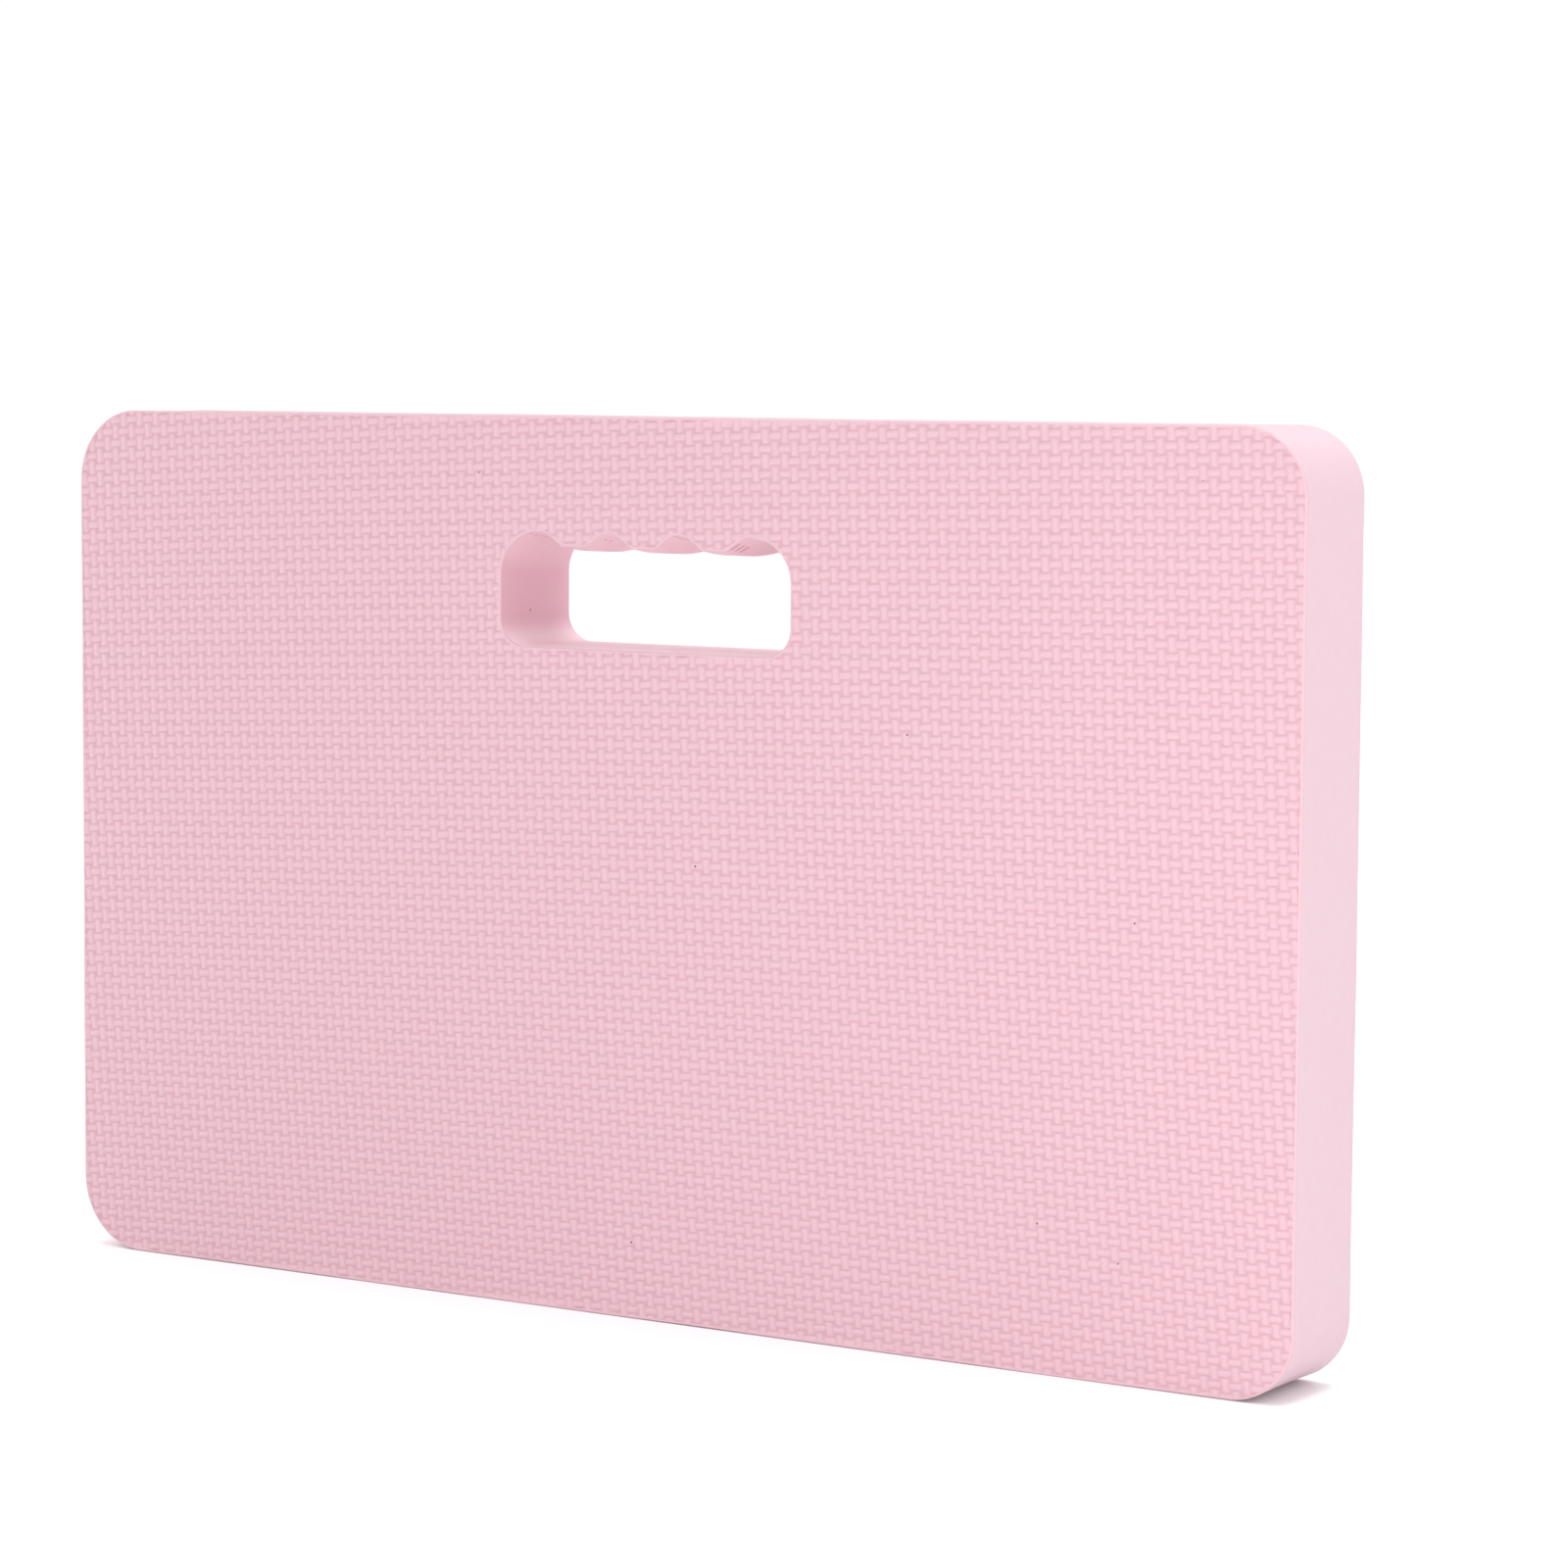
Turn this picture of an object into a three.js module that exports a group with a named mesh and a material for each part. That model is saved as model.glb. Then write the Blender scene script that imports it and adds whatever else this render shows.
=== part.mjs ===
// Embossed foam pad with a finger-grip hand slot, for kneeling, sitting or floor exercise.
//
// Units are millimetres and +Z is up. The pad stands on its long lower edge, with the slot near
// the top. X runs along its length, the front face looks towards -Y, and the origin is the centre
// of the footprint, on the surface that the pad stands on.
//
// The pad is one moulding of closed-cell foam. A soft core is wrapped in a denser skin: an
// embossed skin on each face, a smooth skin round the outer edge and a smooth lining in the slot.
// The edge skin and the lining run the full thickness, so each shows as a narrow rim on the faces.

import * as THREE from 'three';

// ---- driving dimensions ----
const LENGTH = 450;
const THICKNESS = 38;
const HEIGHT = 280;
const CORNER_RADIUS = 22;
const SKIN = 2; // thickness of the dense skin
const GAP = 0.3; // clearance between neighbouring solids
const ROUNDING = 1.5; // where a face turns over into the outer edge or into the slot

// hand slot
const SLOT_WIDTH = 107;
const SLOT_BOTTOM = 208;
const SLOT_LAND = 239.6; // ceiling between two fingers
const SLOT_LOWER_RADIUS = 9;
const SLOT_UPPER_RADIUS = 14;
const FINGERS = 4;
const FINGER_PITCH = 26;
const SCALLOP_WIDTH = 19;
const SCALLOP_DEPTH = 4.4;
const CEILING_BELLY = 2; // how far the ceiling swells downwards halfway through the pad

// mesh fineness
const ARC_STEPS = 8; // steps in a corner arc
const CEILING_STEP = 2; // mm between points along the scalloped ceiling
const ROUNDING_STEPS = 3;
const BELLY_STEPS = 4;

// ---- derived dimensions ----
const HALF_LENGTH = LENGTH / 2;
const HALF_THICKNESS = THICKNESS / 2;
const SLOT_TOP = SLOT_LAND + SCALLOP_DEPTH;
const OUTER_FINGER = (FINGER_PITCH * (FINGERS - 1)) / 2; // centre of the outermost scallop
const BURIED = SKIN + GAP; // depth at which the core begins

// ---- materials ----
function foam(color, roughness) {
  return new THREE.MeshStandardMaterial({ color, roughness, metalness: 0 });
}

const embossedFoam = foam(0xf0c4cf, 0.62);
const smoothFoam = foam(0xedcfd9, 0.5);
const coreFoam = foam(0xf3d3dc, 0.9);

// ---- outlines, as loops of points in the XZ plane, counter-clockwise seen from the front ----

// Points of an arc, its end point left out.
function arc(x, z, radius, startAngle, endAngle) {
  const points = [];
  for (let i = 0; i < ARC_STEPS; i++) {
    const angle = startAngle + ((endAngle - startAngle) * i) / ARC_STEPS;
    points.push(new THREE.Vector2(x + radius * Math.cos(angle), z + radius * Math.sin(angle)));
  }
  return points;
}

// The pad's outline, moved inwards by inset.
function padOutline(inset) {
  const reach = HALF_LENGTH - CORNER_RADIUS;
  const radius = CORNER_RADIUS - inset;
  const low = CORNER_RADIUS;
  const high = HEIGHT - CORNER_RADIUS;
  const turn = Math.PI / 2;
  const corners = [
    arc(reach, low, radius, -turn, 0),
    arc(reach, high, radius, 0, turn),
    arc(-reach, high, radius, turn, 2 * turn),
    arc(-reach, low, radius, 2 * turn, 3 * turn),
  ];
  const ends = [
    new THREE.Vector2(HALF_LENGTH - inset, low),
    new THREE.Vector2(reach, HEIGHT - inset),
    new THREE.Vector2(inset - HALF_LENGTH, high),
    new THREE.Vector2(-reach, inset),
  ];
  return corners.flatMap((corner, i) => [...corner, ends[i]]);
}

// Height of the slot's ceiling above its lands: a smooth hollow for each finger.
function scallop(x) {
  let height = 0;
  for (let i = 0; i < FINGERS; i++) {
    const fromCentre = x - (i * FINGER_PITCH - OUTER_FINGER);
    if (Math.abs(fromCentre) < SCALLOP_WIDTH / 2) {
      height += SCALLOP_DEPTH * Math.cos((Math.PI * fromCentre) / SCALLOP_WIDTH) ** 2;
    }
  }
  return height;
}

// The slot's outline at the wall itself.
function slotWall() {
  const half = SLOT_WIDTH / 2;
  const lowerX = half - SLOT_LOWER_RADIUS;
  const lowerZ = SLOT_BOTTOM + SLOT_LOWER_RADIUS;
  const upperX = half - SLOT_UPPER_RADIUS;
  const upperZ = SLOT_TOP - SLOT_UPPER_RADIUS;
  const turn = Math.PI / 2;
  const ceilingSteps = Math.round((2 * upperX) / CEILING_STEP);
  const ceiling = [];
  for (let i = 0; i < ceilingSteps; i++) {
    const x = upperX - (2 * upperX * i) / ceilingSteps;
    ceiling.push(new THREE.Vector2(x, SLOT_LAND + scallop(x)));
  }
  return [
    ...arc(lowerX, lowerZ, SLOT_LOWER_RADIUS, -turn, 0),
    new THREE.Vector2(half, lowerZ),
    ...arc(upperX, upperZ, SLOT_UPPER_RADIUS, 0, turn),
    ...ceiling,
    ...arc(-upperX, upperZ, SLOT_UPPER_RADIUS, turn, 2 * turn),
    new THREE.Vector2(-half, upperZ),
    ...arc(-lowerX, lowerZ, SLOT_LOWER_RADIUS, 2 * turn, 3 * turn),
    new THREE.Vector2(-lowerX, SLOT_BOTTOM),
  ];
}

// The slot's outline moved outwards, into the foam, by a distance square to the wall.
function slotOutline(outwards) {
  const wall = slotWall();
  return wall.map((point, i) => {
    const before = wall[(i + wall.length - 1) % wall.length];
    const after = wall[(i + 1) % wall.length];
    const along = after.clone().sub(before).normalize();
    return new THREE.Vector2(point.x + along.y * outwards, point.y - along.x * outwards);
  });
}

// How far the ceiling has swelled down at a depth y: full at mid thickness, none at the mouths.
function belly(point, y) {
  const onCeiling = THREE.MathUtils.smoothstep(point.y, SLOT_TOP - SLOT_UPPER_RADIUS, SLOT_LAND);
  const acrossDepth = 1 - (y / HALF_THICKNESS) ** 2;
  return CEILING_BELLY * onCeiling * acrossDepth;
}

// How far a rounded edge has turned away from its wall at a depth y.
function turnedOver(y) {
  const intoRounding = Math.abs(y) - (HALF_THICKNESS - ROUNDING);
  return intoRounding <= 0 ? 0 : ROUNDING - Math.sqrt(Math.max(0, ROUNDING ** 2 - intoRounding ** 2));
}

// Depths from the front mouth to the rear one, close together where an edge is rounded.
function depths(middleSteps) {
  const straight = HALF_THICKNESS - ROUNDING;
  const front = [];
  for (let i = 0; i < ROUNDING_STEPS; i++) {
    const angle = (Math.PI / 2) * (1 - i / ROUNDING_STEPS);
    front.push(-straight - ROUNDING * Math.sin(angle));
  }
  const middle = [];
  for (let i = 0; i <= middleSteps; i++) {
    middle.push(-straight + (2 * straight * i) / middleSteps);
  }
  return [...front, ...middle, ...front.map((y) => -y).reverse()];
}

// ---- solids ----

// A closed ring between an outer and an inner wall. Each wall is a function from a depth y to a
// loop of points, and all the loops have the same number of points.
function ring(outerAt, innerAt, stations) {
  const positions = [];
  const triangles = [];
  const count = outerAt(0).length;
  for (const y of stations) {
    for (const point of [...outerAt(y), ...innerAt(y)]) {
      positions.push(point.x, y, point.y);
    }
  }
  const corner = (station, wall, i) => station * 2 * count + wall * count + (i % count);
  const quad = (a, b, c, d) => triangles.push(a, d, c, a, c, b);
  const last = stations.length - 1;
  for (let i = 0; i < count; i++) {
    for (let s = 0; s < last; s++) {
      quad(corner(s, 0, i), corner(s, 0, i + 1), corner(s + 1, 0, i + 1), corner(s + 1, 0, i));
      quad(corner(s, 1, i + 1), corner(s, 1, i), corner(s + 1, 1, i), corner(s + 1, 1, i + 1));
    }
    quad(corner(0, 0, i + 1), corner(0, 0, i), corner(0, 1, i), corner(0, 1, i + 1));
    quad(corner(last, 0, i), corner(last, 0, i + 1), corner(last, 1, i + 1), corner(last, 1, i));
  }
  const geometry = new THREE.BufferGeometry();
  geometry.setAttribute('position', new THREE.Float32BufferAttribute(positions, 3));
  geometry.setIndex(triangles);
  geometry.computeVertexNormals();
  return geometry;
}

// A flat sheet with the pad's outline and the slot through it, between two depths.
function sheet(frontY, rearY) {
  const shape = new THREE.Shape(padOutline(BURIED));
  shape.holes.push(new THREE.Path(slotOutline(BURIED)));
  const geometry = new THREE.ExtrudeGeometry(shape, { depth: rearY - frontY, bevelEnabled: false });
  geometry.rotateX(Math.PI / 2); // the shape's Y becomes Z, and it is extruded towards -Y
  geometry.translate(0, rearY, 0);
  return geometry;
}

// ---- sub-parts ----
const pad = new THREE.Group();

function add(name, geometry, material) {
  const mesh = new THREE.Mesh(geometry, material);
  mesh.name = name;
  pad.add(mesh);
}

function edgeSkin() {
  return ring((y) => padOutline(turnedOver(y)), () => padOutline(SKIN), depths(1));
}

function handSlotSkin() {
  const lining = (y) =>
    slotOutline(turnedOver(y)).map((point) => new THREE.Vector2(point.x, point.y - belly(point, y)));
  return ring(() => slotOutline(SKIN), lining, depths(BELLY_STEPS));
}

add('front_face_skin', sheet(-HALF_THICKNESS, SKIN - HALF_THICKNESS), embossedFoam);
add('rear_face_skin', sheet(HALF_THICKNESS - SKIN, HALF_THICKNESS), embossedFoam);
add('edge_skin', edgeSkin(), smoothFoam);
add('hand_slot_skin', handSlotSkin(), smoothFoam);
add('foam_core', sheet(BURIED - HALF_THICKNESS, HALF_THICKNESS - BURIED), coreFoam);

export default pad;
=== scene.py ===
# Looks of an embossed foam pad with a finger-grip hand slot, built round its CAD solids.
#
# The frame, the lights and the camera are in metres. Shapes are worked out in millimetres, in the
# same frame, and become metres when a mesh is made. +Z is up, the front face looks towards -Y, and
# the origin is the centre of the footprint, on the surface that the pad stands on.

import math

import bpy
import numpy as np
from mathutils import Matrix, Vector


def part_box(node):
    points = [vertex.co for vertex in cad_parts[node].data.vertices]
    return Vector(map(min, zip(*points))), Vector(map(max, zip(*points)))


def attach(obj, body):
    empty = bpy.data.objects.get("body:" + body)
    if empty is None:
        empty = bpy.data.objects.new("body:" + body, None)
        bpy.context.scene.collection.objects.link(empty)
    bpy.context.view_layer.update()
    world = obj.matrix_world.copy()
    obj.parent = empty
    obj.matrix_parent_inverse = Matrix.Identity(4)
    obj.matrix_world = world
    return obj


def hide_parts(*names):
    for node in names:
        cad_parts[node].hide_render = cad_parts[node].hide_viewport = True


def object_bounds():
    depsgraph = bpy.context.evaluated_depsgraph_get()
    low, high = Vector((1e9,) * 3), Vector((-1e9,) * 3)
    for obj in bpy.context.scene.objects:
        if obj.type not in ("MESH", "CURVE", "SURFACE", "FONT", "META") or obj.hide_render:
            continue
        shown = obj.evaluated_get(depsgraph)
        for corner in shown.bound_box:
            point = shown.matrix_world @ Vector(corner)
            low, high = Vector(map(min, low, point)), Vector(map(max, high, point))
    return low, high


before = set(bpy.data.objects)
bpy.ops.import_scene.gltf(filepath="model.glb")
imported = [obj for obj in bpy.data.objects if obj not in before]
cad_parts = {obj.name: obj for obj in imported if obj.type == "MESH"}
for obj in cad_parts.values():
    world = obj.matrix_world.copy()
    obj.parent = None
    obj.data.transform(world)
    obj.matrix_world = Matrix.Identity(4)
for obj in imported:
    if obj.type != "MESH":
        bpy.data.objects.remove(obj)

CAD_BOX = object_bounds()
MM = 0.001

# ---- sizes from the frame, in mm ----
HALF_LENGTH = CAD_BOX[1].x / MM
HALF_THICKNESS = CAD_BOX[1].y / MM
HEIGHT = CAD_BOX[1].z / MM
SKIN = (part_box("front_face_skin")[1].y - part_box("front_face_skin")[0].y) / MM
HALF_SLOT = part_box("hand_slot_skin")[1].x / MM - SKIN
SLOT_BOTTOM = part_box("hand_slot_skin")[0].z / MM + SKIN
SLOT_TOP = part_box("hand_slot_skin")[1].z / MM - SKIN

# ---- outlines, in mm ----
LEFT_RADIUS = 23.5  # the die cut the two ends a little differently
RIGHT_RADIUS = 20.7
ROUNDING = 0.6  # where a face turns over into the edge or into the slot
ROUNDING_STEPS = 5
STRAIGHT = HALF_THICKNESS - ROUNDING  # where the rounding begins, from the middle plane
WAVER = 0.25  # how far the cut edge wanders inwards
WAVES = ((7, 1, 0.4), (16, 0.6, 2.1), (29, 0.4, 0))  # of that wander: number, share and phase
GAP = 0.3  # between the skins and the core
EDGE_HOLLOW = 0.2  # how far the cut edge is drawn in halfway through the pad

SLOT_LOWER_RADIUS = 9
SLOT_UPPER_RADIUS = 14
FINGERS = 4
FINGER_PITCH = 26
SCALLOP_WIDTH = 17.5
SCALLOP_POWER = 1.2  # how round a scallop is: 1 is fullest
SCALLOP_DEPTH = 4.4
CEILING_BELLY = 2  # how far the ceiling swells downwards halfway through the pad

# ---- mesh fineness, in mm between points or as a number of steps ----
EDGE_SPACING = 1.5  # round the pad
EDGE_STEPS = 18  # across the edge band
MOUTH_SPACING = (0.8, 0.4)  # round the slot's wall and along its ceiling, where it cuts a face
LINING_SPACING = (0.7, 0.35)  # the same on the slot's lining
LINING_FINE = 11  # depth behind the front mouth that has the fine mesh that creases need
LINING_FINE_SPACING = 0.2
LINING_STEPS = 28  # from there to the rear mouth
CORE_SPACING = (1, 2)  # round the corners and along the sides of the core's opening

# ---- creases, in mm ----
# rows of short creases in the ceiling: finger from the left, offset from the finger's middle,
# half length, depth of the first one behind the face, spacing in depth and number
CREASES = (
    (0, -4.0, 0.9, 2.1, 2.6, 4),
    (1, -4.1, 0.6, 5.0, 2.8, 2),
    (2, -1.5, 1.0, 1.3, 2.0, 5),
    (3, -6.3, 1.7, 1.8, 2.7, 3),
)
CREASE_SLANT = 0.35  # how far back a crease runs for each mm to the right
CREASE_WIDTH = 0.45
CREASE_FADE = 0.6  # how far from its ends a crease starts to die out
CREASE_DEPTH = 0.35

# ---- weave embossed on the faces, in mm ----
COLUMN_PITCH = 3.43
ROW_PITCH = 3.655
ROW_START = -1.25  # height of the middle row above the middle of the face
ROW_TILT = 0.107  # rise of a row for each column
ROW_SAG = -0.0005  # fall of a row towards both ends, for each column squared
ROW_SPREAD = 0.0023  # rows stand further apart towards the top, for each row squared
COLUMN_LEAN = -0.152  # sideways lean of a column for each row
COLUMN_BOW = 0.0013  # sideways bow of a column, for each row squared
RELIEF = 0.48  # from the deepest valley to the crests
LYING_BAR = (2.02, 1.27)  # half length and half width of a bar that lies across
STANDING_BAR = (2.42, 1.38)  # the same of a bar that stands upright
STANDING_LEVEL = 0.82  # crest of a standing bar, as a share of a lying one's
LEVEL_SPREAD = 0.05  # how much bars differ in height, as a share of it
BAR_TWIST = 0.045  # bars are turned a little anticlockwise
BAR_FALL = 0.5  # width of a bar's rounded shoulder
BAR_CROWN = 0.34  # how much lower a bar's shoulder is than its middle line
CELL_LINES = (-0.5, -0.33, -0.14, 0.14, 0.33)  # mesh lines across one cell of the weave
COLUMNS = 69  # cells to each side of the middle, enough to cover the face
ROWS = 43
MARGIN = 2  # cells beyond those, for the neighbours of the outermost ones
FADE = 0.35  # width of the strip beside the rim where the weave dies out

# places of small dark specks, as x and height in the front face, and as x, y and height in the slot
FACE_SPECKS = ((-3, 24), (172, 136), (20, 143), (192, 264), (-62, 262), (141, 45), (168, 36), (95, 187))
SLOT_SPECK = (-HALF_SLOT, -2.8, SLOT_BOTTOM + 10.5)
SPECK_RADIUS = 0.5
SPECK_CORE_RADIUS = 0.2  # within which a speck is fully dark

# ---- colours, linear ----
# face weave: the pad's pink on the crests, made paler by a painted highlight, with random warm tone; the
# darker, pinker valleys are painted shade
PINK_CREST_HIGHLIGHT = (0.595, 0.392, 0.446)
PINK_CREST_HIGHLIGHT_WARM = (0.605, 0.384, 0.438)
PINK_VALLEY_SHADE = (0.54, 0.322, 0.373)
PINK_RIM = (0.59, 0.39, 0.442)  # where the smooth skin turns over a face
PALE = (0.605, 0.44, 0.495)  # of the outer edge
PALE_WARM = (0.613, 0.433, 0.485)
# slot colours are painted light and shade by height: the walls darker and pinker as painted shade, the
# floor paler as painted light from above, the ceiling between them
LINING_WALL_SHADE = (0.615, 0.36, 0.417)
LINING_FLOOR_LIGHT = (0.86, 0.64, 0.70)
LINING_CEILING_LIGHT_AND_SHADE = (0.655, 0.43, 0.49)
CREASE_SHADE = (0.45, 0.23, 0.27)  # painted shade at the bottom of a crease
CREST_BAND = 0.05  # how far below the crests the skin is still the crest's colour, in mm
RIM_BLEND = 0.4  # over which the smooth skin takes on the rim's colour, in mm
SPECK_COLOUR = (0.12, 0.06, 0.07)
CORE_CELL = (0.66, 0.40, 0.46)
CORE_WALL = (0.78, 0.52, 0.58)
CELL_SIZE = 0.8  # of the core's foam, in mm

# ---- how light sinks into the foam ----
SCATTER_SHARE = 0.12
SCATTER_REACH = (1.0, 0.45, 0.5)  # of red, green and blue, as shares of the depth
SCATTER_DEPTH = 0.0012  # in metres

# ---- light, in metres, watts and degrees ----
HORIZON_STRENGTH = 1.02  # of the sky, up to HORIZON_END above the floor
SKY_STRENGTH = 0.83  # of the sky, from SKY_START upwards
HORIZON_END = 5
SKY_START = 14
MIDDLE = (0, 0, 0.14)  # of the pad

# name, azimuth, elevation, strength and spread; azimuth is 0 in front of the pad, and grows
# anticlockwise seen from above
SUNS = (
    ("overhead", 0, 80, 0.55, 30),
    ("front_fill", -30, 52, 0.36, 40),
    ("rear_fill", 180, 50, 0.5, 40),
)

# name, place, aim, size and watts
SOFTBOXES = (
    ("left_box", (-1.0, -0.15, 0.25), MIDDLE, (0.2, 0.5), 2.5),
    ("mirror_box", (-0.6, -1.6, 0.1), MIDDLE, (0.4, 0.2), 0.6),
    ("front_box", (0.5, -0.9, 0.1), (0.05, 0, 0.06), (0.4, 0.2), 2),
    ("right_box", (0.6, -0.55, 0.1), (0.15, 0, 0.1), (0.3, 0.2), 1),
    ("end_box", (1.0, 0.05, 0.9), (0.2, 0, 0.2), (0.5, 0.5), 1),
    ("top_box", (0.4, 0.15, 0.95), (0.2, 0.0, 0.27), (0.4, 0.2), 2),
)

# ---- floor and camera, in metres and degrees ----
FLOOR_RADIUS = 30
FLOOR_SIDES = 64
CAMERA_PLACE = (0.801, -1.207, 0.295)
CAMERA_TURN = (84.916, -0.406, 32.268)
CAMERA_LENS = 107.2  # in mm, on a sensor 36 mm wide


# ---- meshes ----
def smoothstep(value):
    """A smooth rise from 0 at 0 to 1 at 1, level beyond both."""
    share = np.clip(value, 0, 1)
    return share * share * (3 - 2 * share)


def new_object(name, points, faces):
    """A mesh object from points in mm and faces."""
    mesh = bpy.data.meshes.new(name)
    mesh.from_pydata((np.asarray(points) * MM).tolist(), [], faces)
    mesh.update()
    made = bpy.data.objects.new(name, mesh)
    bpy.context.scene.collection.objects.link(made)
    return made


def shade(piece, sharp_degrees):
    """Smooth shading, but for edges that bend more than the angle."""
    piece.data.shade_smooth()
    piece.data.set_sharp_from_angle(angle=math.radians(sharp_degrees))


def grid_faces(rows, columns, closed):
    """Quads over a grid of points, joined end to end both ways where it is closed."""
    row = np.arange(rows if closed else rows - 1)[:, None]
    column = np.arange(columns if closed else columns - 1)[None, :]
    next_row = (row + 1) % rows
    next_column = (column + 1) % columns
    corners = [
        row * columns + column,
        next_row * columns + column,
        next_row * columns + next_column,
        row * columns + next_column,
    ]
    return np.stack(corners, -1).reshape(-1, 4).tolist()


def cut(piece, tool, operation):
    """Cuts the piece with a closed tool, and removes the tool."""
    modifier = piece.modifiers.new("cut", "BOOLEAN")
    modifier.operation = operation
    modifier.solver = "MANIFOLD"
    modifier.object = tool
    graph = bpy.context.evaluated_depsgraph_get()
    result = bpy.data.meshes.new_from_object(piece.evaluated_get(graph))
    piece.modifiers.clear()
    piece.data = result
    bpy.data.objects.remove(tool)


def prism(loop, near, far):
    """A closed solid with the loop as its outline, between two depths."""
    count = len(loop)
    ends = [np.column_stack([loop[:, 0], np.full(count, y), loop[:, 1]]) for y in (near, far)]
    sides = [[i, i + count, (i + 1) % count + count, (i + 1) % count] for i in range(count)]
    caps = [list(range(count)), list(range(2 * count - 1, count - 1, -1))]
    return new_object("tool", np.concatenate(ends), sides + caps)


# ---- outlines, as arrays of x and z, anticlockwise seen from the front ----
def arc(x, z, radius, start_degrees, spacing):
    """A quarter turn, its end point left out."""
    steps = max(3, round(radius * math.pi / 2 / spacing))
    angles = np.radians(start_degrees + 90 * np.arange(steps) / steps)
    return np.column_stack([x + radius * np.cos(angles), z + radius * np.sin(angles)])


def straight(start, end, spacing):
    """Points of a straight stretch, its end point left out."""
    steps = max(1, round(math.dist(start, end) / spacing))
    share = np.arange(steps)[:, None] / steps
    return np.asarray(start) * (1 - share) + np.asarray(end) * share


def outward(loop):
    """Unit normals of a closed loop, pointing away from what it encloses."""
    along = np.roll(loop, -1, axis=0) - np.roll(loop, 1, axis=0)
    normals = np.column_stack([along[:, 1], -along[:, 0]])
    return normals / np.linalg.norm(normals, axis=1)[:, None]


def pad_outline():
    """The pad's outer edge, with the slight wander of foam that was cut with a die."""
    spacing = EDGE_SPACING
    right, left = HALF_LENGTH - RIGHT_RADIUS, LEFT_RADIUS - HALF_LENGTH
    parts = [
        arc(right, RIGHT_RADIUS, RIGHT_RADIUS, -90, spacing),
        straight((HALF_LENGTH, RIGHT_RADIUS), (HALF_LENGTH, HEIGHT - RIGHT_RADIUS), spacing),
        arc(right, HEIGHT - RIGHT_RADIUS, RIGHT_RADIUS, 0, spacing),
        straight((right, HEIGHT), (left, HEIGHT), spacing),
        arc(left, HEIGHT - LEFT_RADIUS, LEFT_RADIUS, 90, spacing),
        straight((-HALF_LENGTH, HEIGHT - LEFT_RADIUS), (-HALF_LENGTH, LEFT_RADIUS), spacing),
        arc(left, LEFT_RADIUS, LEFT_RADIUS, 180, spacing),
        straight((left, 0), (right, 0), spacing),
    ]
    loop = np.concatenate(parts)
    turn = 2 * math.pi * np.arange(len(loop)) / len(loop)
    wander = sum(share * np.sin(number * turn + phase) for number, share, phase in WAVES)
    most = sum(share for _, share, _ in WAVES)
    return loop - outward(loop) * (WAVER * (most + wander) / (2 * most))[:, None]


def ceiling_height(x):
    """The slot's ceiling: level lands, with a smooth hollow for each finger."""
    height = np.full_like(x, SLOT_TOP - SCALLOP_DEPTH)
    for finger in range(FINGERS):
        from_centre = x - FINGER_PITCH * (finger - (FINGERS - 1) / 2)
        hollow = np.maximum(0, np.cos(math.pi * from_centre / SCALLOP_WIDTH)) ** SCALLOP_POWER
        height += np.where(np.abs(from_centre) < SCALLOP_WIDTH / 2, SCALLOP_DEPTH * hollow, 0)
    return height


def slot_outline(spacing, ceiling_spacing):
    """The slot's wall: four rounded corners, with the scallops along its ceiling."""
    low_x, high_x = HALF_SLOT - SLOT_LOWER_RADIUS, HALF_SLOT - SLOT_UPPER_RADIUS
    low_z, high_z = SLOT_BOTTOM + SLOT_LOWER_RADIUS, SLOT_TOP - SLOT_UPPER_RADIUS
    ceiling = straight((high_x, 0), (-high_x, 0), ceiling_spacing)
    ceiling[:, 1] = ceiling_height(ceiling[:, 0])
    parts = [
        arc(low_x, low_z, SLOT_LOWER_RADIUS, -90, spacing),
        straight((HALF_SLOT, low_z), (HALF_SLOT, high_z), spacing),
        arc(high_x, high_z, SLOT_UPPER_RADIUS, 0, ceiling_spacing),
        ceiling,
        arc(-high_x, high_z, SLOT_UPPER_RADIUS, 90, ceiling_spacing),
        straight((-HALF_SLOT, high_z), (-HALF_SLOT, low_z), spacing),
        arc(-low_x, low_z, SLOT_LOWER_RADIUS, 180, spacing),
        straight((-low_x, SLOT_BOTTOM), (low_x, SLOT_BOTTOM), spacing),
    ]
    return np.concatenate(parts)


# ---- the weave ----
def lattice(column, row):
    """Where a point of the weave lies on the face. Whole numbers are the middles of bars."""
    x = COLUMN_PITCH * column + COLUMN_LEAN * row + COLUMN_BOW * row**2
    rise = ROW_PITCH * row + ROW_TILT * column + ROW_SAG * column**2 + ROW_SPREAD * row**2
    return x, HEIGHT / 2 + ROW_START + rise


def bar_height(along, sideways, size):
    """Height of one bar of the weave: a pillow with a low crown and rounded shoulders."""
    half_length, half_width = size
    ends = smoothstep((half_length - np.abs(along)) / BAR_FALL)
    sides = smoothstep((half_width - np.abs(sideways)) / BAR_FALL)
    return ends * sides * (1 - BAR_CROWN * (sideways / half_width) ** 2)


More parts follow.
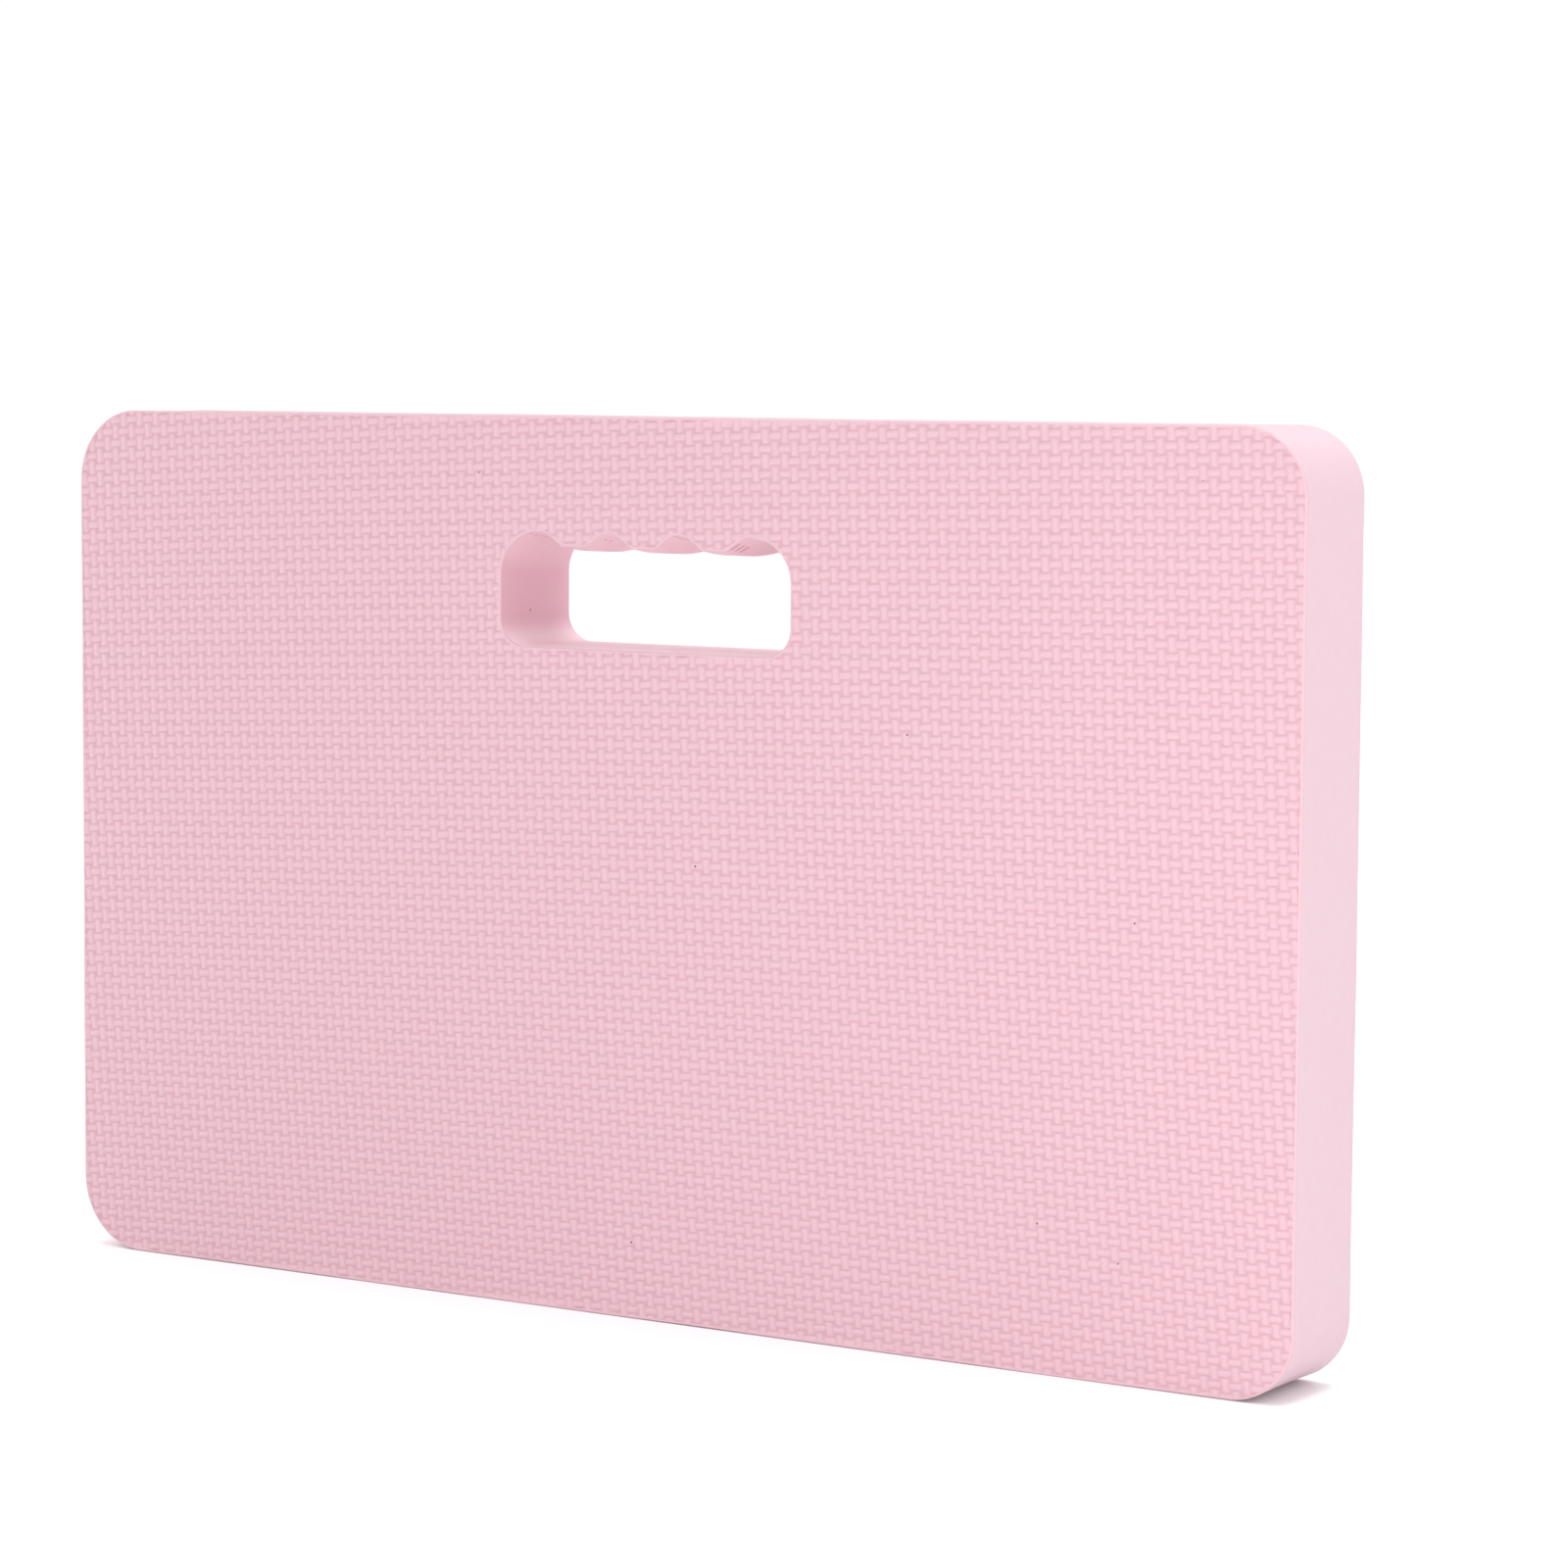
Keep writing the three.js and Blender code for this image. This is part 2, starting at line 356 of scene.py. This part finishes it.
def weave_height(column, row, random):
    """Height of the weave, from 0 in a valley to about 1 on a crest."""
    cells = (2 * (COLUMNS + MARGIN) + 1, 2 * (ROWS + MARGIN) + 1)
    level = 1 + LEVEL_SPREAD * random.uniform(-1, 1, cells)
    height = np.zeros_like(column)
    for step_across, step_up in ((0, 0), (1, 0), (-1, 0), (0, 1), (0, -1)):
        bar_column = np.rint(column) + step_across
        bar_row = np.rint(row) + step_up
        across = (column - bar_column) * COLUMN_PITCH
        up = (row - bar_row) * ROW_PITCH
        lying = bar_height(across, up - BAR_TWIST * across, LYING_BAR)
        standing = STANDING_LEVEL * bar_height(up, across + BAR_TWIST * up, STANDING_BAR)
        bar = np.where((bar_column + bar_row) % 2 == 1, lying, standing)
        level_column = (bar_column + COLUMNS + MARGIN).astype(int)
        level_row = (bar_row + ROWS + MARGIN).astype(int)
        height = np.maximum(height, bar * level[level_column, level_row])
    return height


def inside_pad(x, z):
    """How far a point lies inside the pad's outer edge."""
    radius = np.where(x < 0, LEFT_RADIUS, RIGHT_RADIUS)
    across = np.abs(x) - (HALF_LENGTH - radius)
    up = np.abs(z - HEIGHT / 2) - (HEIGHT / 2 - radius)
    beyond = np.hypot(np.maximum(across, 0), np.maximum(up, 0))
    return radius - beyond - np.minimum(np.maximum(across, up), 0)


def from_slot(x, z):
    """How far a point lies from the slot's wall, where it is near it."""
    distance = np.full_like(x, HALF_LENGTH)
    reach = ROUNDING + FADE + 1  # the weave is whole beyond this
    near = (np.abs(x) < HALF_SLOT + reach) & (z > SLOT_BOTTOM - reach) & (z < SLOT_TOP + reach)
    wall = slot_outline(*MOUTH_SPACING)
    gaps = np.hypot(x[near][:, None] - wall[:, 0], z[near][:, None] - wall[:, 1])
    distance[near] = gaps.min(axis=1)
    return distance


def mesh_lines(cells):
    """Places of the mesh's lines over cells of the weave, to each side of the middle."""
    centres = np.arange(-cells, cells + 1)
    return (centres[:, None] + np.array(CELL_LINES)).ravel()


def face_skin(name, rear, seed):
    """One face of the pad: a sheet with the weave raised on its outer side."""
    columns, rows = mesh_lines(COLUMNS), mesh_lines(ROWS)
    column, row = np.meshgrid(columns, rows, indexing="ij")
    x, z = lattice(column, row)
    height = weave_height(column, row, np.random.default_rng(seed))
    rim = np.minimum(inside_pad(-x if rear else x, z), from_slot(x, z)) - ROUNDING
    height += (1 - height) * (1 - smoothstep(rim / FADE))
    y = RELIEF * (1 - height) - HALF_THICKNESS
    top = np.stack([x, y, z], -1).reshape(-1, 3)
    index = np.arange(x.size).reshape(x.shape)
    border = np.concatenate([index[:-1, 0], index[-1, :-1], index[:0:-1, -1], index[0, :0:-1]])
    base = top[border].copy()
    base[:, 1] = SKIN - HALF_THICKNESS
    count = len(border)
    under = x.size + np.arange(count)
    beside = np.roll(np.arange(count), -1)
    walls = np.stack([border[beside], border, under, under[beside]], -1)
    faces = grid_faces(*x.shape, closed=False) + walls.tolist() + [under[::-1].tolist()]
    points = np.concatenate([top, base])
    if rear:
        points *= (-1, -1, 1)
    piece = new_object(name, points, faces)
    side = 1 if rear else -1
    depths = sorted((side * (HALF_THICKNESS - 2 * SKIN), side * (HALF_THICKNESS + SKIN)))
    loop = pad_outline()
    cut(piece, prism(loop - outward(loop) * ROUNDING, *depths), "INTERSECT")
    wall = slot_outline(*MOUTH_SPACING)
    cut(piece, prism(wall + outward(wall) * ROUNDING, *depths), "DIFFERENCE")
    shade(piece, sharp_degrees=60)
    return piece


# ---- the edge band, the slot's lining and the core ----
def wall_profile(depths, hollow=0.0):
    """Closed cross-section of a wall from face to face, as (distance into the foam, depth)."""
    angles = np.radians(np.linspace(90, 0, ROUNDING_STEPS, endpoint=False))
    into = ROUNDING * (1 - np.cos(angles))
    front = np.column_stack([into, -STRAIGHT - ROUNDING * np.sin(angles)])
    middle = np.column_stack([hollow * (1 - (depths / STRAIGHT) ** 2), depths])
    buried = np.array([(SKIN, HALF_THICKNESS - SKIN), (SKIN, SKIN - HALF_THICKNESS)])
    return np.concatenate([front, middle, front[::-1] * (1, -1), buried])


def sweep(loop, into_foam, profile):
    """Points of a cross-section carried round a loop, as an array of loop, profile and x, y, z."""
    places = loop[:, None, :] + into_foam[:, None, :] * profile[None, :, :1]
    depths = np.broadcast_to(profile[None, :, 1:], (*places.shape[:2], 1))
    return np.concatenate([places[..., :1], depths, places[..., 1:]], -1)


def edge_band():
    """The smooth skin round the outside, turned over both faces."""
    loop = pad_outline()
    depths = np.linspace(-STRAIGHT, STRAIGHT, EDGE_STEPS + 1)
    points = sweep(loop, -outward(loop), wall_profile(depths, EDGE_HOLLOW))
    faces = [face[::-1] for face in grid_faces(*points.shape[:2], closed=True)]
    piece = new_object("edge_band", points.reshape(-1, 3), faces)
    shade(piece, sharp_degrees=50)
    return piece


def creases(x, y):
    """Depth of the wrinkles in the ceiling's skin, from 0 to 1, in short rows behind the mouth."""
    depth = np.zeros_like(x)
    for finger, offset, half_length, first, spacing, number in CREASES:
        along = x - FINGER_PITCH * (finger - (FINGERS - 1) / 2) - offset
        for i in range(number):
            across = y + HALF_THICKNESS - first - i * spacing - CREASE_SLANT * along
            line = np.exp(-((across / CREASE_WIDTH) ** 2))
            depth = np.maximum(depth, line * smoothstep((half_length - np.abs(along)) / CREASE_FADE))
    return depth


def slot_lining():
    """The smooth skin of the slot, with a bellied, scalloped and creased ceiling."""
    loop = slot_outline(*LINING_SPACING)
    fine = np.arange(-STRAIGHT, LINING_FINE - STRAIGHT, LINING_FINE_SPACING)
    coarse = np.linspace(LINING_FINE - STRAIGHT, STRAIGHT, LINING_STEPS)
    points = sweep(loop, outward(loop), wall_profile(np.concatenate([fine, coarse])))
    x, y, z = np.moveaxis(points, -1, 0)
    on_ceiling = smoothstep((z - SLOT_TOP + SLOT_UPPER_RADIUS) / (SLOT_UPPER_RADIUS - SCALLOP_DEPTH))
    wrinkled = on_ceiling * creases(x, y)
    points[..., 2] += CREASE_DEPTH * wrinkled
    points[..., 2] -= CEILING_BELLY * on_ceiling * (1 - (y / HALF_THICKNESS) ** 2)
    faces = grid_faces(*points.shape[:2], closed=True)
    piece = new_object("slot_lining", points.reshape(-1, 3), faces)
    for name, values in (("crease", wrinkled), ("lining", np.ones_like(x))):
        attribute = piece.data.attributes.new(name, "FLOAT", "POINT")
        attribute.data.foreach_set("value", values.ravel().astype(np.float32))
    shade(piece, sharp_degrees=50)
    return piece


def core_opening():
    """The core's own opening for the slot: a rounded rectangle that clears the lining."""
    half, low, high = HALF_SLOT + SKIN + GAP, SLOT_BOTTOM - SKIN - GAP, SLOT_TOP + SKIN + GAP
    lower, upper = SLOT_LOWER_RADIUS + SKIN + GAP, SLOT_UPPER_RADIUS + SKIN + GAP
    corner_spacing, side_spacing = CORE_SPACING
    parts = [
        arc(half - lower, low + lower, lower, -90, corner_spacing),
        straight((half, low + lower), (half, high - upper), side_spacing),
        arc(half - upper, high - upper, upper, 0, corner_spacing),
        straight((half - upper, high), (upper - half, high), side_spacing),
        arc(upper - half, high - upper, upper, 90, corner_spacing),
        straight((-half, high - upper), (-half, low + lower), side_spacing),
        arc(lower - half, low + lower, lower, 180, corner_spacing),
        straight((lower - half, low), (half - lower, low), side_spacing),
    ]
    return np.concatenate(parts)


def core():
    """The soft inside of the pad, within its skins."""
    outline = pad_outline()
    inside = HALF_THICKNESS - SKIN - GAP
    piece = prism(outline - outward(outline) * (SKIN + GAP), -inside, inside)
    piece.name = "core"
    cut(piece, prism(core_opening(), -HALF_THICKNESS, HALF_THICKNESS), "DIFFERENCE")
    shade(piece, sharp_degrees=30)
    return piece


# ---- materials ----
def node(tree, kind, **settings):
    """A shader node. Settings are its own properties, or the values of its sockets."""
    made = tree.nodes.new(kind)
    for name, value in settings.items():
        if hasattr(made, name):
            setattr(made, name, value)
        else:
            made.inputs[name.replace("_", " ")].default_value = value
    return made


def mixed(tree, share, first, second):
    """A colour between two others, each a socket or three numbers."""
    mix = node(tree, "ShaderNodeMix", data_type="RGBA")
    colours = [socket for socket in mix.inputs if socket.type == "RGBA"]
    for socket, colour in zip(colours, (first, second)):
        if isinstance(colour, tuple):
            socket.default_value = (*colour, 1)
        else:
            tree.links.new(colour, socket)
    tree.links.new(share, mix.inputs["Factor"])
    return next(socket for socket in mix.outputs if socket.type == "RGBA")


def ramped(tree, value, low, high, at_low=0.0, at_high=1.0):
    """A value carried from one range to another, and held at its ends."""
    ramp = node(tree, "ShaderNodeMapRange", interpolation_type="SMOOTHSTEP")
    for name, number in (("From Min", low), ("From Max", high), ("To Min", at_low), ("To Max", at_high)):
        ramp.inputs[name].default_value = number
    tree.links.new(value, ramp.inputs["Value"])
    return ramp.outputs["Result"]


def noise(tree, place, size, detail=2.0):
    """Noise with features of about that size in mm."""
    made = node(tree, "ShaderNodeTexNoise", Scale=1 / (size * MM), Detail=detail)
    tree.links.new(place, made.inputs["Vector"])
    return made.outputs["Fac"]


def bumped(tree, height, distance, strength=1.0, under=None):
    """A normal bent by a height, on top of another bump. The distance is in mm."""
    bump = node(tree, "ShaderNodeBump", Strength=strength, Distance=distance * MM)
    tree.links.new(height, bump.inputs["Height"])
    if under is not None:
        tree.links.new(under, bump.inputs["Normal"])
    return bump.outputs["Normal"]


def depth_from_middle(tree, place):
    """How far a point lies from the pad's middle plane, in metres."""
    split = node(tree, "ShaderNodeSeparateXYZ")
    tree.links.new(place, split.inputs["Vector"])
    depth = node(tree, "ShaderNodeMath", operation="ABSOLUTE")
    tree.links.new(split.outputs["Y"], depth.inputs[0])
    return depth.outputs["Value"]


def dark_specks(tree, place, points):
    """1 in small dark specks at some points, given in mm, and 0 elsewhere."""
    found = None
    for point in points:
        distance = node(tree, "ShaderNodeVectorMath", operation="DISTANCE")
        distance.inputs[1].default_value = Vector(point) * MM
        tree.links.new(place, distance.inputs[0])
        speck = ramped(tree, distance.outputs["Value"], SPECK_RADIUS * MM, SPECK_CORE_RADIUS * MM)
        if found is None:
            found = speck
        else:
            either = node(tree, "ShaderNodeMath", operation="MAXIMUM")
            tree.links.new(found, either.inputs[0])
            tree.links.new(speck, either.inputs[1])
            found = either.outputs["Value"]
    return found


def foam_shader(name):
    """A new foam material, with its node tree, its shader and the place in the pad's own frame."""
    material = bpy.data.materials.new(name)
    material.use_nodes = True
    tree = material.node_tree
    shader = tree.nodes["Principled BSDF"]
    shader.inputs["Subsurface Weight"].default_value = SCATTER_SHARE
    shader.inputs["Subsurface Radius"].default_value = SCATTER_REACH
    shader.inputs["Subsurface Scale"].default_value = SCATTER_DEPTH
    place = node(tree, "ShaderNodeTexCoord").outputs["Object"]
    return material, tree, shader, place


def embossed_foam():
    """Skin of the faces: duller in the valleys, which are darker and pinker as painted shade, with crests
    paler as a painted highlight, and fine grain on the bars.
    """
    material, tree, shader, place = foam_shader("embossed_foam")
    depth = depth_from_middle(tree, place)
    raised = ramped(tree, depth, (HALF_THICKNESS - RELIEF) * MM, (HALF_THICKNESS - CREST_BAND) * MM)
    crest = mixed(tree, noise(tree, place, size=22), PINK_CREST_HIGHLIGHT, PINK_CREST_HIGHLIGHT_WARM)
    # painted shade in the valleys and a painted highlight on the crests, following the height of the
    # weave
    colour = mixed(tree, raised, PINK_VALLEY_SHADE, crest)
    specks = dark_specks(tree, place, [(x, -HALF_THICKNESS, z) for x, z in FACE_SPECKS])
    tree.links.new(mixed(tree, specks, colour, SPECK_COLOUR), shader.inputs["Base Color"])
    roughness = ramped(tree, raised, low=0, high=1, at_low=0.5, at_high=0.32)
    tree.links.new(roughness, shader.inputs["Roughness"])
    grain = bumped(tree, noise(tree, place, size=0.3), distance=0.02, strength=0.5)
    dimples = bumped(tree, noise(tree, place, size=1.3), distance=0.05, strength=0.5, under=grain)
    tree.links.new(dimples, shader.inputs["Normal"])
    return material


def smooth_foam():
    """Skin of the cut edge and of the slot: paler, and as pink as a face where it meets one. In the slot
    it carries painted light and shade by height, and painted shade in the creases.
    """
    material, tree, shader, place = foam_shader("smooth_foam")
    depth = depth_from_middle(tree, place)
    at_face = ramped(tree, depth, (STRAIGHT - RIM_BLEND) * MM, STRAIGHT * MM)
    pale = mixed(tree, noise(tree, place, size=30), PALE, PALE_WARM)
    split = node(tree, "ShaderNodeSeparateXYZ")
    tree.links.new(place, split.inputs["Vector"])
    # masks for the slot's painted light and shade: towards its floor and towards its ceiling
    low = ramped(tree, split.outputs["Z"], (SLOT_BOTTOM + SLOT_LOWER_RADIUS) * MM, SLOT_BOTTOM * MM)
    high = ramped(tree, split.outputs["Z"], (SLOT_TOP - SLOT_UPPER_RADIUS) * MM, SLOT_TOP * MM)
    # painted shade on the slot's walls, painted light on its floor, and the ceiling between them
    slot_light_and_shade = mixed(tree, high, mixed(tree, low, LINING_WALL_SHADE, LINING_FLOOR_LIGHT), LINING_CEILING_LIGHT_AND_SHADE)
    lining = node(tree, "ShaderNodeAttribute", attribute_name="lining").outputs["Fac"]
    colour = mixed(tree, at_face, mixed(tree, lining, pale, slot_light_and_shade), PINK_RIM)
    crease = node(tree, "ShaderNodeAttribute", attribute_name="crease").outputs["Fac"]
    # painted shade along the creases, by their depth
    colour = mixed(tree, ramped(tree, crease, low=0.1, high=0.7), colour, CREASE_SHADE)
    specks = dark_specks(tree, place, [SLOT_SPECK])
    tree.links.new(mixed(tree, specks, colour, SPECK_COLOUR), shader.inputs["Base Color"])
    roughness = ramped(tree, noise(tree, place, size=4), low=0.3, high=0.7, at_low=0.5, at_high=0.6)
    tree.links.new(roughness, shader.inputs["Roughness"])
    pores = bumped(tree, noise(tree, place, size=0.35), distance=0.02, strength=0.5)
    ripples = bumped(tree, noise(tree, place, size=9), distance=0.12, strength=0.4, under=pores)
    tree.links.new(ripples, shader.inputs["Normal"])
    return material


def core_foam():
    """Open look of the soft core: small rounded cells."""
    material, tree, shader, place = foam_shader("core_foam")
    cells = node(tree, "ShaderNodeTexVoronoi", Scale=1 / (CELL_SIZE * MM))
    tree.links.new(place, cells.inputs["Vector"])
    distance = cells.outputs["Distance"]
    tree.links.new(mixed(tree, distance, CORE_CELL, CORE_WALL), shader.inputs["Base Color"])
    tree.links.new(bumped(tree, distance, distance=0.15), shader.inputs["Normal"])
    shader.inputs["Roughness"].default_value = 0.85
    return material


# ---- the stage ----
def softbox(name, place, aim, size, watts):
    """A rectangular lamp that faces the point that it aims at."""
    data = bpy.data.lights.new(name, "AREA")
    data.shape = "RECTANGLE"
    data.size, data.size_y = size
    data.energy = watts
    light = bpy.data.objects.new(name, data)
    bpy.context.scene.collection.objects.link(light)
    light.location = place
    light.rotation_euler = (Vector(aim) - Vector(place)).to_track_quat("-Z", "Y").to_euler()


def floor():
    """A plain white floor, so wide that its rim is lost in the sky."""
    turn = 2 * math.pi * np.arange(FLOOR_SIDES) / FLOOR_SIDES
    rim = np.column_stack([np.cos(turn), np.sin(turn), np.zeros(FLOOR_SIDES)]) * FLOOR_RADIUS / MM
    made = new_object("floor", rim, [list(range(FLOOR_SIDES))])
    material = bpy.data.materials.new("pale_floor")
    material.use_nodes = True
    shader = material.node_tree.nodes["Principled BSDF"]
    shader.inputs["Base Color"].default_value = (0.93, 0.93, 0.93, 1)
    shader.inputs["Roughness"].default_value = 1.0
    shader.inputs["Specular IOR Level"].default_value = 0.0
    made.data.materials.append(material)


def sky():
    """White light from all round, brighter near the horizon."""
    world = bpy.data.worlds.new("studio")
    bpy.context.scene.world = world
    world.use_nodes = True
    tree = world.node_tree
    place = node(tree, "ShaderNodeTexCoord").outputs["Generated"]
    split = node(tree, "ShaderNodeSeparateXYZ")
    tree.links.new(place, split.inputs["Vector"])
    fade = node(tree, "ShaderNodeMapRange", interpolation_type="SMOOTHSTEP")
    fade.inputs["From Min"].default_value = math.sin(math.radians(HORIZON_END))
    fade.inputs["From Max"].default_value = math.sin(math.radians(SKY_START))
    fade.inputs["To Min"].default_value = HORIZON_STRENGTH
    fade.inputs["To Max"].default_value = SKY_STRENGTH
    tree.links.new(split.outputs["Z"], fade.inputs["Value"])
    tree.links.new(fade.outputs["Result"], tree.nodes["Background"].inputs["Strength"])
    tree.nodes["Background"].inputs["Color"].default_value = (1, 1, 1, 1)


def sun(name, azimuth, elevation, strength, spread):
    """Even light over the pad and the whole floor."""
    data = bpy.data.lights.new(name, "SUN")
    data.energy = strength
    data.angle = math.radians(spread)
    light = bpy.data.objects.new(name, data)
    bpy.context.scene.collection.objects.link(light)
    light.rotation_euler = (math.radians(90 - elevation), 0, math.radians(azimuth))


def studio():
    sky()
    for settings in SUNS:
        sun(*settings)
    for settings in SOFTBOXES:
        softbox(*settings)
    bpy.context.scene.view_settings.view_transform = "Standard"


def camera():
    data = bpy.data.cameras.new("camera")
    data.lens = CAMERA_LENS
    data.sensor_width = 36
    data.clip_start, data.clip_end = 0.05, 100
    made = bpy.data.objects.new("camera", data)
    bpy.context.scene.collection.objects.link(made)
    made.location = CAMERA_PLACE
    made.rotation_euler = [math.radians(angle) for angle in CAMERA_TURN]
    bpy.context.scene.camera = made


camera()
studio()
floor()

EMBOSSED, SMOOTH, CORE = embossed_foam(), smooth_foam(), core_foam()

for piece, cad_node, slot, material in (
    (face_skin("front_face", False, 11), "front_face_skin", "embossed_foam", EMBOSSED),
    (face_skin("rear_face", True, 23), "rear_face_skin", "embossed_foam", EMBOSSED),
    (edge_band(), "edge_skin", "smooth_foam", SMOOTH),
    (slot_lining(), "hand_slot_skin", "smooth_foam", SMOOTH),
    (core(), "foam_core", "core_foam", CORE),
):
    piece.data.materials.clear()
    piece.data.materials.append(material)
    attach(piece, "root")
    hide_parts(cad_node)
